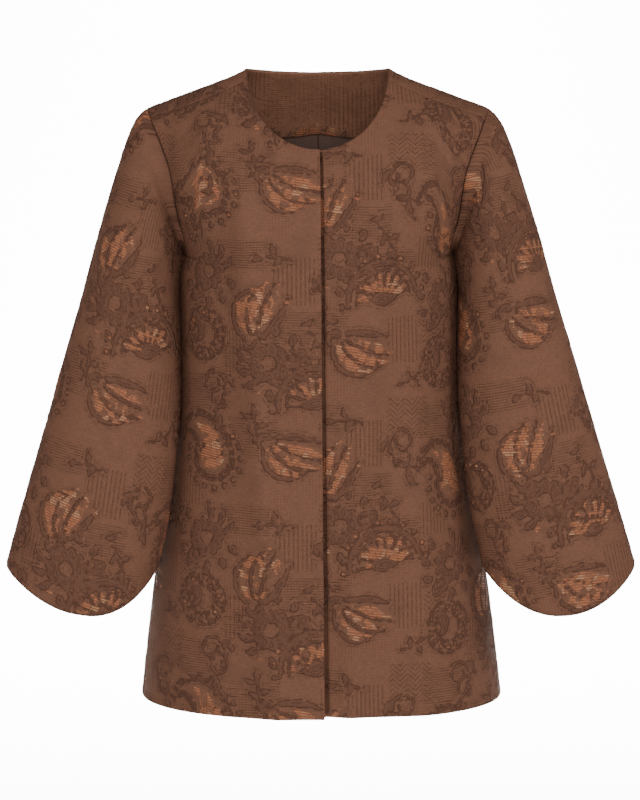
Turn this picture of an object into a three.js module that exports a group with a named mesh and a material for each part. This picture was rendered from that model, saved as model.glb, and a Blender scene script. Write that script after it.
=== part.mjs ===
// A collarless jacquard jacket with bell sleeves, filled out as it is when worn, with nobody in it.
// Millimetres, +Z up. The front faces -Y and +X is the wearer's left. The origin lies between the
// two points where the shoulder ridges meet the neck, which is where the wearer's shoulders carry it.
// Every panel is a wall of cloth: points on one shared form, moved in by the thickness of the cloth.
import * as THREE from "three";

// Cloth and seams
const CLOTH = 1.8; // thickness of the interlined jacquard
const SEAM_GAP = 0.4; // space between two panels along a seam
const LAYER_GAP = 0.5; // space between two layers that lie on each other

// Driving sizes of the jacket
const NECK_HALF = 82; // half of the neck's width at the shoulder ridge
const SHOULDER_SLOPE = 0.37; // fall of the ridge for each millimetre outwards
const NECK_RISE = 4; // extra rise of the ridge at the neck, fading within NECK_RISE_REACH
const NECK_RISE_REACH = 15;
const UNDERARM_Z = -215;
const HEM_Z = -742;
const HEM_LEAN = 4.5; // the hem hangs this far to the wearer's left of the neck
const RIDGE_HALF = 215; // the form's half width along the ridge, which runs on under the sleeve
const SECTION_POWER = 2.2; // squareness of the body's sections, where 2 is an ellipse
const SHOULDER_POWER = 2.9; // the same on the ridge
const SPREAD_POWER = 1.3; // how late the form widens from the underarm to the ridge
const SHOULDER_REACH = 0.6; // from this angle outwards the shoulder's lean holds, in radians
const SEAM_FORWARD = 0.86; // share of the front armhole that the front panel takes, up to the seam
const NECK_SEAM_ANGLE = THREE.MathUtils.degToRad(7); // place of the seam on the front neckline
const FACING_STAND_OFF = 3; // the facing's free lower edge stands this far off the back

// Front and back: the neckline's lowest point below the ridge and how flat it runs, and how much the
// cloth leans in towards the ridge at the centre and at the shoulder, where 1 is round.
const SIDES = [
  { side: -1, depths: "front", neckDrop: 81, neckCurve: 1, centreLean: 2, shoulderLean: 1.15 },
  { side: 1, depths: "back", neckDrop: 10, neckCurve: 1.5, centreLean: 1.5, shoulderLean: 1.05 },
];

// The body below the underarm: half width and depths of its sections, at each height
const BODY = [
  { z: -215, half: 157, front: 130, back: 116 }, // bust and underarm
  { z: -238, half: 162, front: 130.5, back: 114 },
  { z: -300, half: 163, front: 131, back: 110 },
  { z: -400, half: 167, front: 128, back: 106 }, // waist
  { z: -500, half: 179, front: 129, back: 112 },
  { z: -600, half: 195, front: 133, back: 122 },
  { z: -742, half: 212, front: 141, back: 134 }, // hem
];

// The armhole in front view: how far out its edge lies at each height
const ARMHOLE = [
  { z: -215, front: 157, back: 157 }, // underarm
  { z: -211, front: 155.6, back: 155.2 },
  { z: -205, front: 155, back: 153.8 },
  { z: -197, front: 155.4, back: 153.5 },
  { z: -187, front: 157.4, back: 155 },
  { z: -177, front: 160.4, back: 157.8 },
  { z: -160, front: 164.5, back: 162.5 },
  { z: -144, front: 168, back: 167 },
  { z: -111, front: 174, back: 175.5 },
  { z: -88, front: 181, back: 183 },
  { z: -69, front: 188, back: 190 },
  { z: -57, front: 193, back: 195 },
  { z: -47, front: 198, back: 198 }, // shoulder tip, on the ridge
];

// Soft falls of the cloth, from the shoulders down: side is -1 on the front and 1 on the back, x is
// the middle, top and foot are the heights where a fall fades out, and depth is how far it lies in.
const FALLS = [
  { side: -1, x: -98, top: -35, foot: -260, width: 20, depth: 3.5 },
  { side: -1, x: 66, top: -60, foot: -330, width: 20, depth: 3 },
  { side: -1, x: -138, top: -120, foot: -700, width: 24, depth: -1.5 },
  { side: -1, x: 36, top: -280, foot: -560, width: 22, depth: 1.5 },
  { side: -1, x: -176, top: -50, foot: -190, width: 12, depth: 3 },
  { side: -1, x: 171, top: -50, foot: -190, width: 12, depth: 3 },
  { side: 1, x: -92, top: -40, foot: -330, width: 22, depth: 3.5 },
  { side: 1, x: 104, top: -40, foot: -300, width: 22, depth: 3 },
  { side: 1, x: -58, top: -380, foot: -900, width: 30, depth: 4 },
  { side: 1, x: 74, top: -340, foot: -900, width: 28, depth: 3.5 },
];

const FALL_FULL = 0.3; // share of its length at which a fall is fully there
const FALL_EASES = 0.6; // share at which it starts to fade again

// The sleeve's sections below the armhole: its outer and inner line in front view, the place of its
// middle from front to back, and its half depth. The hem row is where the sleeve's two sides end.
const SLEEVE = [
  { outX: 205, outZ: -53, inX: 161, inZ: -214, midY: -4, depth: 51 },
  { outX: 214, outZ: -65, inX: 162, inZ: -222, midY: -9, depth: 53 },
  { outX: 224, outZ: -89, inX: 162.5, inZ: -236, midY: -16, depth: 54 },
  { outX: 238, outZ: -132, inX: 161.5, inZ: -258, midY: -22, depth: 55 },
  { outX: 255, outZ: -188, inX: 160.5, inZ: -292, midY: -30, depth: 54 },
  { outX: 276, outZ: -264, inX: 160, inZ: -336, midY: -39, depth: 53 },
  { outX: 298, outZ: -338, inX: 161, inZ: -388, midY: -48, depth: 52 },
  { outX: 320, outZ: -414, inX: 165.5, inZ: -442, midY: -55, depth: 52 },
  { outX: 343, outZ: -491, inX: 173, inZ: -504, midY: -60, depth: 53 },
  { outX: 367, outZ: -574, inX: 189, inZ: -578, midY: -63, depth: 55 }, // hem
];
const SLEEVE_HEM_DIP = 48; // the round hem hangs this far lower at its front and back
const HEM_DIP_ROWS = 2.5; // table rows over which the dip comes in
const HEM_DIP_SKEW = 0.07; // moves the lowest point of the hem towards the body
const SLEEVE_CLEARANCE = 2; // space between the sleeve and the body that it hangs against
const SLEEVE_POWER = 2.3;
const MITRE_LIMIT = 0.6; // keeps the mitre short where the sleeve folds back under the arm

// Divisions of the panels. A panel's columns are shares of the way from the centre to the side,
// and half of that way ends on the neckline. Columns below 0 lie past the centre.
const ACROSS = 12;
const NECK_SHARE = 0.5;
const COLUMNS = Array.from({ length: ACROSS }, (_, n) => (n + 1) / ACROSS);
const BACK_COLUMNS = [0, ...COLUMNS];
const RIGHT_FRONT_COLUMNS = [-0.008, ...COLUMNS];
const LEFT_FRONT_COLUMNS = [-0.068, 0.012, 0.045, ...COLUMNS];
const STEP_START = 0.012; // the left front is set back up to here and level again at STEP_END
const STEP_END = 0.083;
const LOWER_ROWS = 12;
const UPPER_ROWS = 11;
const TOP_ROW = LOWER_ROWS + UPPER_ROWS;
const STRIP_ROWS = 2; // of the back, from the ridge forward to the shoulder seam
const SLEEVE_ROWS = 24;
const SLEEVE_BANDS = [
  { band: "cap", first: 0, last: 8 },
  { band: "upper", first: 8, last: 12 },
  { band: "middle", first: 12, last: 18 },
  { band: "lower", first: 18, last: SLEEVE_ROWS },
];
const FACING_COLUMNS = 8;
const FACING_ROWS = 5;
const FACING_CURVE = 0.75; // how much of its depth the facing loses towards its ends

const QUARTER = Math.PI / 2;
const NUDGE = 0.02; // step in angle and level that the form's direction is measured over
const SEARCH_STEPS = 40;
const sideOf = (side) => SIDES.find((row) => row.side === side);
const mix = (a, b, t) => a + (b - a) * t;
const signedPower = (x, p) => Math.sign(x) * Math.abs(x) ** p;
const smoothStep = (t) => t * t * (3 - 2 * t);
const ramp = (x, from, to) => smoothStep(Math.min(1, Math.max(0, (x - from) / (to - from))));

// A smooth value of one column of a table at a height, with the table's rows in order of z.
function lookUp(table, column, z) {
  const rows = table[0].z < table.at(-1).z ? table : [...table].reverse();
  let k = rows.findIndex((row) => row.z > z) - 1;
  if (k < 0) k = z < rows[0].z ? 0 : rows.length - 2;
  const slope = (i) => {
    const a = rows[Math.max(0, i - 1)];
    const b = rows[Math.min(rows.length - 1, i + 1)];
    return (b[column] - a[column]) / (b.z - a.z);
  };
  const span = rows[k + 1].z - rows[k].z;
  const t = Math.min(1, Math.max(0, (z - rows[k].z) / span));
  const ends = mix(rows[k][column], rows[k + 1][column], smoothStep(t));
  const start = slope(k) * span * t * (1 - t) * (1 - t);
  const finish = slope(k + 1) * span * t * t * (t - 1);
  return ends + start + finish;
}

// Height of the shoulder ridge at a distance from the centre. Inside the neck it is only a guide.
function ridgeHeight(x) {
  const past = Math.abs(x) - NECK_HALF;
  const neckSlope = SHOULDER_SLOPE + NECK_RISE / NECK_RISE_REACH;
  if (past < 0) return (neckSlope * (NECK_HALF ** 2 - x ** 2)) / (2 * NECK_HALF);
  return -SHOULDER_SLOPE * past + NECK_RISE * (Math.exp(-past / NECK_RISE_REACH) - 1);
}

// Half width of the form above the underarm. climb is 0 at the underarm and 1 on the ridge.
const upperHalf = (climb) => mix(BODY[0].half, RIDGE_HALF, climb ** SPREAD_POWER);

// Squareness of the form's section above the underarm.
const upperPower = (climb) => mix(SECTION_POWER, SHOULDER_POWER, Math.sin(QUARTER * climb));

// How far the falls of the cloth lie in at a place.
function fallDepth(side, x, z) {
  let total = 0;
  FALLS.filter((fall) => fall.side === side).forEach(({ x: middle, top, foot, width, depth }) => {
    const down = (top - z) / (top - foot);
    const fade = ramp(down, 0, FALL_FULL) * (1 - ramp(down, FALL_EASES, 1));
    total += depth * fade * Math.exp(-(((x - middle) / width) ** 2));
  });
  return total;
}

// The form's point at an angle round the body, 0 at the centre and a quarter turn at the side, and a
// level: below 0 it is a share of the way down to the hem, above 0 a quarter turn up to the ridge.
// side is -1 for the front and 1 for the back.
function formPoint(side, angle, level) {
  const { depths, centreLean, shoulderLean } = sideOf(side);
  const climb = Math.sin(Math.max(0, level));
  const out = signedPower(Math.sin(angle), 2 / upperPower(climb));
  const deep = signedPower(Math.cos(angle), 2 / upperPower(climb));
  if (level < 0) {
    const z = mix(UNDERARM_Z, HEM_Z, -level);
    const half = lookUp(BODY, "half", z);
    return new THREE.Vector3(half * out, side * lookUp(BODY, depths, z) * deep, z);
  }
  const lean = mix(centreLean, shoulderLean, ramp(Math.abs(angle), 0, SHOULDER_REACH));
  const top = ridgeHeight(RIDGE_HALF * out);
  return new THREE.Vector3(
    upperHalf(climb) * out,
    side * BODY[0][depths] * deep * signedPower(Math.cos(level), lean),
    mix(UNDERARM_Z, top, climb),
  );
}

// The angle and level whose point shows at x and z in front view, above the underarm.
function locate(x, z) {
  let out = x / RIDGE_HALF;
  let climb = 0;
  for (let n = 0; n < SEARCH_STEPS; n++) {
    climb = (z - UNDERARM_Z) / (ridgeHeight(RIDGE_HALF * out) - UNDERARM_Z);
    climb = Math.min(1, Math.max(0, climb));
    out = Math.min(1, x / upperHalf(climb));
  }
  const angle = Math.asin(signedPower(out, upperPower(climb) / 2));
  return new THREE.Vector2(angle, Math.asin(climb));
}

// The armhole's edge as angle and level. share runs from 0 at the underarm to 1 on the ridge.
function armholeEdge(side, share) {
  const top = ARMHOLE.at(-1).z;
  const z = mix(UNDERARM_Z, top, (1 - Math.cos(Math.PI * share)) / 2);
  return locate(lookUp(ARMHOLE, side < 0 ? "front" : "back", z), z);
}

// The neckline as angle and level. turn is 0 on the ridge and a quarter turn at the centre.
function necklineEdge(side, turn) {
  const { neckDrop, neckCurve } = sideOf(side);
  return locate(NECK_HALF * Math.cos(turn), -neckDrop * Math.sin(turn) ** neckCurve);
}

// The panel's angle and level at each crossing of its columns and rows, above the underarm, as a
// patch stretched between its four edges.
function upperPatch(side, topShare) {
  const startTurn = side < 0 ? NECK_SEAM_ANGLE : 0;
  const neckSide = necklineEdge(side, startTurn);
  const tip = armholeEdge(side, topShare);
  const top = (u) => {
    if (u <= NECK_SHARE) return necklineEdge(side, mix(QUARTER, startTurn, u / NECK_SHARE));
    return neckSide.clone().lerp(tip, (u - NECK_SHARE) / (1 - NECK_SHARE));
  };
  const bottom = (u) => new THREE.Vector2(QUARTER * u, 0);
  const centre = (v) => new THREE.Vector2(0, top(0).y * v);
  const outer = (v) => armholeEdge(side, topShare * v);
  return (u, v) => {
    const across = centre(v).lerp(outer(v), u);
    const up = bottom(u).lerp(top(u), v);
    const corners = bottom(0).lerp(bottom(1), u).lerp(top(0).lerp(top(1), u), v);
    return across.add(up).sub(corners);
  };
}

// The outward direction of the form at an angle and level, from points a little to each side.
function formNormal(side, angle, level) {
  const across = formPoint(side, angle + NUDGE, level).sub(formPoint(side, angle - NUDGE, level));
  const low = level === 0 ? level : level - NUDGE;
  const up = formPoint(side, angle, level + NUDGE).sub(formPoint(side, angle, low));
  return across.cross(up).multiplyScalar(-side).normalize();
}

// One half of the front or of the back, as a sheet of points in rows from the hem upwards. A sheet
// holds points, outward directions and faces of four corners. hand is 1 on the wearer's left.
function bodySheet(side, columns, hand) {
  const sheet = { points: [], normals: [], quads: [], columns, last: columns.length - 1, at: {} };
  sheet.neck = columns.indexOf(NECK_SHARE);
  const addPoint = (i, j, formSide, angle, level) => {
    const normal = formNormal(formSide, angle, level);
    const point = formPoint(formSide, angle, level);
    point.addScaledVector(normal, -fallDepth(formSide, point.x * hand, point.z));
    sheet.at[i + "," + j] = sheet.points.length;
    sheet.points.push(point);
    sheet.normals.push(normal);
  };
  const patch = upperPatch(side, side < 0 ? SEAM_FORWARD : 1);
  columns.forEach((u, i) => {
    for (let j = 0; j < LOWER_ROWS; j++) addPoint(i, j, side, QUARTER * u, -1 + j / LOWER_ROWS);
    for (let k = 0; k <= UPPER_ROWS; k++) {
      const place = patch(Math.abs(u), k / UPPER_ROWS);
      addPoint(i, LOWER_ROWS + k, side, Math.sign(u) * place.x, place.y);
    }
  });
  const addQuads = (firstColumn, firstRow, lastRow) => {
    for (let j = firstRow; j < lastRow; j++) {
      for (let i = firstColumn; i < sheet.last; i++) {
        const corner = (di, dj) => sheet.at[i + di + "," + (j + dj)];
        sheet.quads.push([corner(0, 0), corner(1, 0), corner(1, 1), corner(0, 1)]);
      }
    }
  };
  addQuads(0, 0, TOP_ROW);
  if (side > 0) {
    // the strip of the back that comes forward over the shoulder, to the seam
    const frontPatch = upperPatch(-1, SEAM_FORWARD);
    for (let k = 1; k <= STRIP_ROWS; k++) {
      for (let i = sheet.neck; i <= sheet.last; i++) {
        const share = k / STRIP_ROWS;
        let place = patch(columns[i], 1).lerp(frontPatch(columns[i], 1), share);
        if (i === sheet.last) place = armholeEdge(-1, mix(1, SEAM_FORWARD, share));
        if (i === sheet.neck) place = necklineEdge(-1, mix(0, NECK_SEAM_ANGLE, share));
        addPoint(i, TOP_ROW + k, -1, place.x, place.y);
      }
    }
    addQuads(sheet.neck, TOP_ROW, TOP_ROW + STRIP_ROWS);
  }
  return sheet;
}

// Moves a border point into its own panel, so that the seam stays open by SEAM_GAP.
function openSeam(sheet, keys, step) {
  const moved = keys.map(([i, j]) => {
    const here = sheet.points[sheet.at[i + "," + j]];
    const inside = sheet.points[sheet.at[i + step[0] + "," + (j + step[1])]];
    return inside.clone().sub(here).setLength(SEAM_GAP / 2);
  });
  keys.forEach(([i, j], n) => sheet.points[sheet.at[i + "," + j]].add(moved[n]));
}

const range = (from, to) => Array.from({ length: to - from + 1 }, (_, n) => from + n);

// The armhole as a loop from the shoulder seam down the front, under the arm, up the back and over
// the ridge to the seam again. Each place names the panels' points that lie there.
function armholeLoop(front, back) {
  const seam = TOP_ROW + STRIP_ROWS;
  const loop = [];
  const add = (...owners) => {
    const { sheet, n } = owners[0];
    loop.push({ owners, point: sheet.points[n].clone(), normal: sheet.normals[n].clone() });
  };
  const owner = (sheet, j) => ({ sheet, n: sheet.at[sheet.last + "," + j] });
  add(owner(front, TOP_ROW), owner(back, seam));
  for (let j = TOP_ROW - 1; j > LOWER_ROWS; j--) add(owner(front, j));
  add(owner(front, LOWER_ROWS), owner(back, LOWER_ROWS));
  for (let j = LOWER_ROWS + 1; j < seam; j++) add(owner(back, j));
  return loop;
}

// How far round the sleeve each point of the armhole lies: 0 at the top, half a turn underneath.
function turnsOf(loop) {
  const ridge = loop.length - STRIP_ROWS;
  const under = UPPER_ROWS;
  const distance = [0];
  for (let k = 1; k <= loop.length; k++) {
    const here = loop[k % loop.length].point;
    distance.push(distance[k - 1] + here.distanceTo(loop[k - 1].point));
  }
  const total = distance[loop.length];
  const beforeSeam = total - distance[ridge];
  const frontLength = distance[under] + beforeSeam;
  const backLength = distance[ridge] - distance[under];
  return loop.map((_, k) => {
    if (k <= under) return (Math.PI * (distance[k] + beforeSeam)) / frontLength;
    if (k >= ridge) return (Math.PI * (distance[k] - distance[ridge])) / frontLength;
    return Math.PI + (Math.PI * (distance[k] - distance[under])) / backLength;
  });
}

// The body's half width at a depth and height, for a sleeve that hangs against it.
function bodyReach(y, z) {
  const low = Math.min(z, UNDERARM_Z);
  const half = lookUp(BODY, "half", low);
  const depth = lookUp(BODY, y < 0 ? "front" : "back", low);
  const share = Math.min(1, Math.abs(y) / depth) ** SECTION_POWER;
  return half * (1 - share) ** (1 / SECTION_POWER);
}

// A sleeve's point from a row of the table, at a turn round the sleeve.
function sleevePoint(row, index, turn) {
  const up = signedPower(Math.cos(turn), 2 / SLEEVE_POWER);
  const forward = signedPower(Math.sin(turn), 2 / SLEEVE_POWER);
  const dipShare = ramp(index, SLEEVE.length - 1 - HEM_DIP_ROWS, SLEEVE.length - 1);
  const hang = Math.sin(turn - HEM_DIP_SKEW * Math.sin(turn)) ** 2;
  const point = new THREE.Vector3(
    mix(row.inX, row.outX, (1 + up) / 2),
    row.midY - row.depth * forward,
    mix(row.inZ, row.outZ, (1 + up) / 2) - SLEEVE_HEM_DIP * dipShare * hang,
  );
  const clear = bodyReach(point.y, point.z) + SLEEVE_CLEARANCE;
  if (point.z < UNDERARM_Z - SLEEVE_CLEARANCE) point.x = Math.max(point.x, clear);
  return point;
}

// The sleeve as a sheet of rings, the first one along the armhole.
function sleeveSheet(loop) {
  const sheet = { points: [], normals: [], quads: [], round: loop.length };
  const turns = turnsOf(loop);
  const count = loop.length;
  const lines = loop.map(({ point }, k) => {
    const stops = SLEEVE.map((row, index) => sleevePoint(row, index, turns[k]));
    return new THREE.CatmullRomCurve3([point.clone(), ...stops], false, "centripetal");
  });
  for (let j = 0; j <= SLEEVE_ROWS; j++) {
    lines.forEach((line) => sheet.points.push(line.getPoint(j / SLEEVE_ROWS)));
  }
  for (let j = 0; j <= SLEEVE_ROWS; j++) {
    for (let k = 0; k < count; k++) {
      const ring = (row, n) => sheet.points[row * count + ((n + count) % count)];
      const round = ring(j, k + 1).clone().sub(ring(j, k - 1));
      const along = ring(Math.min(j + 1, SLEEVE_ROWS), k).clone().sub(ring(Math.max(j - 1, 0), k));
      sheet.normals.push(round.cross(along).normalize());
    }
  }
  for (let j = 0; j < SLEEVE_ROWS; j++) {
    for (let k = 0; k < count; k++) {
      const next = (k + 1) % count;
      sheet.quads.push([j * count + k, j * count + next, (j + 1) * count + next, (j + 1) * count + k]);
    }
  }
  return sheet;
}

// Mitres the armhole: the panels and the sleeve get one shared direction at each place of the seam,
// and each of them is moved off the mitre by half the seam's gap.
function joinSleeve(loop, sleeve) {
  const count = loop.length;
  const around = loop.map(({ point }, k) => {
    return loop[(k + 1) % count].point.clone().sub(loop.at(k - 1).point);
  });
  loop.forEach(({ normal, owners, point }, k) => {
    const shared = sleeve.normals[k].clone().add(normal).normalize();
    shared.divideScalar(Math.max(MITRE_LIMIT, shared.dot(normal)));
    const apart = around[k].clone().cross(shared).setLength(SEAM_GAP / 2);
    if (apart.dot(sleeve.points[count + k].clone().sub(point)) < 0) apart.negate();
    sleeve.normals[k] = shared.clone();
    sleeve.points[k].add(apart);
    owners.forEach(({ sheet, n }) => {
      sheet.normals[n] = shared.clone();
      sheet.points[n].sub(apart);
    });
  });
}

// A band of the sleeve between two of its rings, set back a little from the band above it. The cloth
// of a sleeve is one piece. Its solid is in bands, because a short tube stays hollow for collision.
function sleeveBand(sleeve, first, last) {
  const count = sleeve.round;
  const cut = (list) => list.slice(first * count, (last + 1) * count).map((v) => v.clone());
  const band = { points: cut(sleeve.points), normals: cut(sleeve.normals) };
  const quads = sleeve.quads.slice(first * count, last * count);
  band.quads = quads.map((quad) => quad.map((n) => n - first * count));
  const ring = band.points.slice(0, count).map((p) => p.clone());
  for (let k = 0; k < count && first > 0; k++) {
    const around = ring[(k + 1) % count].clone().sub(ring.at(k - 1));
    const apart = around.cross(band.normals[k]).setLength(SEAM_GAP);
    if (apart.dot(band.points[k + count].clone().sub(ring[k])) < 0) apart.negate();
    band.points[k].add(apart);
  }
  return band;
}

// A closed wall: the sheet's points, the same points moved in, and the rim between them.
function wall(sheet, thickness = CLOTH) {
  const count = sheet.points.length;
  const positions = [];
  sheet.points.forEach((p) => positions.push(p.x, p.y, p.z));
  sheet.points.forEach((p, n) => {
    const inner = p.clone().addScaledVector(sheet.normals[n], -thickness);
    positions.push(inner.x, inner.y, inner.z);
  });
  const faces = [];
  const edges = new Map();
  const flip = facesInwards(sheet);
  sheet.quads.forEach((quad) => {
    const [a, b, c, d] = flip ? [...quad].reverse() : quad;
    faces.push(a, b, c, a, c, d);
    faces.push(a + count, c + count, b + count, a + count, d + count, c + count);
    [[a, b], [b, c], [c, d], [d, a]].forEach(([from, to]) => {
      if (!edges.delete(to + "," + from)) edges.set(from + "," + to, [from, to]);
    });
  });
  edges.forEach(([from, to]) => {
    faces.push(from, from + count, to + count, from, to + count, to);
  });
  const geometry = new THREE.BufferGeometry();
  geometry.setAttribute("position", new THREE.Float32BufferAttribute(positions, 3));
  geometry.setIndex(faces);
  geometry.computeVertexNormals();
  return geometry;
}

function facesInwards(sheet) {
  const [a, b, , d] = sheet.quads[0].map((n) => sheet.points[n]);
  const face = b.clone().sub(a).cross(d.clone().sub(a));
  return face.dot(sheet.normals[sheet.quads[0][0]]) < 0;
}

// The sheet on the wearer's right is the left one mirrored.
function mirrored(sheet) {
  const turn = (v) => new THREE.Vector3(-v.x, v.y, v.z);
  return { ...sheet, points: sheet.points.map(turn), normals: sheet.normals.map(turn) };
}

// The whole body leans a little to one side, more towards the hem.
function lean(sheet) {
  sheet.points.forEach((p) => (p.x += HEM_LEAN * Math.max(0, p.z / HEM_Z)));
}

// Sets the left front back where the right one covers it.
function setBackUnderlap(sheet) {
  for (const [key, n] of Object.entries(sheet.at)) {
    const u = sheet.columns[parseInt(key, 10)];
    const share = 1 - ramp(u, STEP_START, STEP_END);
    sheet.points[n].addScaledVector(sheet.normals[n], -(CLOTH + LAYER_GAP) * share);
  }
}

// One half of the facing inside the back of the neck, made from the back's own points, moved in.
// Its lower edge is free and stands off a little. The halves are joined at the centre.
function facingHalf(back) {
  const rows = [];
  for (let c = 0; c <= FACING_COLUMNS; c++) {
    const depth = FACING_ROWS * (1 - FACING_CURVE * (c / FACING_COLUMNS) ** 3);
    for (let r = 0; r <= FACING_ROWS; r++) {
      const row = TOP_ROW - depth * (1 - r / FACING_ROWS);
      const low = Math.min(TOP_ROW - 1, Math.floor(row));
      const [a, b] = [low, low + 1].map((j) => back.at[c + "," + j]);
      const point = back.points[a].clone().lerp(back.points[b], row - low);
      const normal = back.normals[a].clone().lerp(back.normals[b], row - low).normalize();
      const standOff = mix(FACING_STAND_OFF, LAYER_GAP, r / FACING_ROWS);
      rows.push({ c, r, point: point.addScaledVector(normal, -CLOTH - standOff), normal });
    }
  }
  return rows;
}

// The whole facing, from the two backs.
function facingSheet(left, right) {
  const sheet = { points: [], normals: [], quads: [] };
  const at = {};
  const add = ({ c, r, point, normal }) => {
    at[c + "," + r] = sheet.points.length;
    sheet.points.push(point);
    sheet.normals.push(normal);
  };
  facingHalf(left).forEach(add);
  facingHalf(mirrored(right)).filter(({ c }) => c > 0).forEach((row) => add({ ...row, c: -row.c }));
  for (let c = -FACING_COLUMNS; c < FACING_COLUMNS; c++) {
    for (let r = 0; r < FACING_ROWS; r++) {
      const corner = (dc, dr) => at[c + dc + "," + (r + dr)];
      sheet.quads.push([corner(0, 0), corner(1, 0), corner(1, 1), corner(0, 1)]);
    }
  }
  return sheet;
}

const jacquard = new THREE.MeshStandardMaterial({ color: 0x6f4a38, roughness: 0.72, metalness: 0 });
const wrongSide = new THREE.MeshStandardMaterial({ color: 0x5f4132, roughness: 0.8, metalness: 0 });

const jacket = new THREE.Group();
function addPiece(name, sheet, material = jacquard) {
  const mesh = new THREE.Mesh(wall(sheet), material.clone());
  mesh.name = name;
  jacket.add(mesh);
}

// One side of the jacket, built on the wearer's left. hand is -1 for the wearer's right side, which
// is mirrored afterwards. It returns the back as it was before its seams were opened.
function buildSide(name, hand, frontColumns) {
  const front = bodySheet(-1, frontColumns, hand);
  const back = bodySheet(1, BACK_COLUMNS, hand);
  const loop = armholeLoop(front, back);
  const sleeve = sleeveSheet(loop);
  joinSleeve(loop, sleeve);
  const closedBack = { ...back, points: back.points.map((p) => p.clone()) };
  const seam = TOP_ROW + STRIP_ROWS;
  openSeam(front, range(0, LOWER_ROWS).map((j) => [front.last, j]), [-1, 0]);
  openSeam(back, range(0, LOWER_ROWS).map((j) => [back.last, j]), [-1, 0]);
  openSeam(back, range(0, TOP_ROW).map((j) => [0, j]), [1, 0]);
  openSeam(front, range(front.neck, front.last).map((i) => [i, TOP_ROW]), [0, -1]);
  openSeam(back, range(back.neck, back.last).map((i) => [i, seam]), [0, -1]);
  if (hand > 0) setBackUnderlap(front);
  const pieces = { front, back };
  for (const { band, first, last } of SLEEVE_BANDS) {
    pieces["sleeve_" + band] = sleeveBand(sleeve, first, last);
  }
  for (const [piece, sheet] of Object.entries(pieces)) {
    const placed = hand < 0 ? mirrored(sheet) : sheet;
    lean(placed);
    addPiece(piece + "_" + name, placed);
  }
  return closedBack;
}

const leftBack = buildSide("left", 1, LEFT_FRONT_COLUMNS);
const rightBack = buildSide("right", -1, RIGHT_FRONT_COLUMNS);
const facing = facingSheet(leftBack, rightBack);
lean(facing);
addPiece("back_neck_facing", facing, wrongSide);

export default jacket;
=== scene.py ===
# %% [markdown]
# # A jacquard jacket, filled out as it is when worn
# The jacket has no collar and no lining that shows. It is cut from a thick brown jacquard, a cloth
# whose loom lifts single threads to weave a figured pattern. Two fronts, two backs and two sleeves
# are sewn together, and a facing finishes the back of the neck. Nobody is in it, but it keeps the
# shape of a wearer, so every panel here is a thin shell on one shared form.

# %% The frame that every piece is fitted to
import bmesh
import bpy
import math
import numpy as np
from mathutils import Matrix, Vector


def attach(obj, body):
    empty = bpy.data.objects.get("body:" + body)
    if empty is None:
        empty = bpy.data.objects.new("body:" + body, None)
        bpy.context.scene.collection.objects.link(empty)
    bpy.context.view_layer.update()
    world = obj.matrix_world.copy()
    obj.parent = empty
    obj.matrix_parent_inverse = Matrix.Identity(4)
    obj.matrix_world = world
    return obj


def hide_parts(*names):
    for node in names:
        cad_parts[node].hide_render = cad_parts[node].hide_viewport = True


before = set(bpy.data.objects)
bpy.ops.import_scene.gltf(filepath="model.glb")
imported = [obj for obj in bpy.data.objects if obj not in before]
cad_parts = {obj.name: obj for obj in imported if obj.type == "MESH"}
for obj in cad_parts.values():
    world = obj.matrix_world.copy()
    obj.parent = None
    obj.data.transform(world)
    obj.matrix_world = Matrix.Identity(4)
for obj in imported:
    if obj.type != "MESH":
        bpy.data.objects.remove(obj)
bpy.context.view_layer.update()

# %% [markdown]
# The camera stands far in front of the jacket, a little above it, with a long lens, so that the hem
# curves only slightly. The floor is pale and far below the hem, at the wearer's feet, and it fills
# the background. A soft light near the camera reaches into the neck, and two tall ones stand far out
# at the sides, the right one a little stronger, so that the falls of the cloth show. The last one
# lights only the floor behind, which makes it nearly white.

# %% Camera, floor and lights
MM = 0.001
PIXEL = 1.17 * MM  # one pixel of the image, measured at the jacket
IMAGE_LONG_SIDE = 800
CAMERA_DISTANCE = 7.0
CAMERA_ELEVATION = math.radians(11)
AIM = Vector((2.8, 0, -391.5)) * MM
FLOOR_LEVEL = -1.42
AIR_STRENGTH = 0.46  # even light from all sides
LIGHT_SPREAD = math.radians(110)

camera_data = bpy.data.cameras.new("camera")
camera_data.lens = camera_data.sensor_width * CAMERA_DISTANCE / (IMAGE_LONG_SIDE * PIXEL)
camera_data.clip_end = 100
camera = bpy.data.objects.new("camera", camera_data)
bpy.context.scene.collection.objects.link(camera)
bpy.context.scene.camera = camera
away = Vector((0, -math.cos(CAMERA_ELEVATION), math.sin(CAMERA_ELEVATION)))
camera.location = AIM + away * CAMERA_DISTANCE
camera.rotation_euler = (-away).to_track_quat("-Z", "Y").to_euler()


def linear(hex_colour, alpha=1.0):
    """An sRGB colour, such as "74503F", as the linear values that Blender works with."""
    parts = [int(hex_colour[i:i + 2], 16) / 255 for i in (0, 2, 4)]
    bright = [c / 12.92 if c <= 0.04045 else ((c + 0.055) / 1.055) ** 2.4 for c in parts]
    return (*bright, alpha)


def add_node(material, kind, inputs=None, **settings):
    """Adds one node. A value in inputs is set on its socket, and a socket in inputs is linked."""
    tree = material.node_tree
    made = tree.nodes.new(kind)
    for key, value in settings.items():
        setattr(made, key, value)
    for key, value in (inputs or {}).items():
        if isinstance(value, bpy.types.NodeSocket):
            tree.links.new(value, made.inputs[key])
        else:
            made.inputs[key].default_value = value
    return made


def new_material(name):
    material = bpy.data.materials.new(name)
    material.use_nodes = True
    material.node_tree.nodes.clear()
    return material


paper = new_material("pale_studio_paper")
paper_shader = add_node(paper, "ShaderNodeBsdfPrincipled", {
    "Base Color": linear("FAFAFA"), "Roughness": 0.9,
})
add_node(paper, "ShaderNodeOutputMaterial", {"Surface": paper_shader.outputs[0]})

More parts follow.
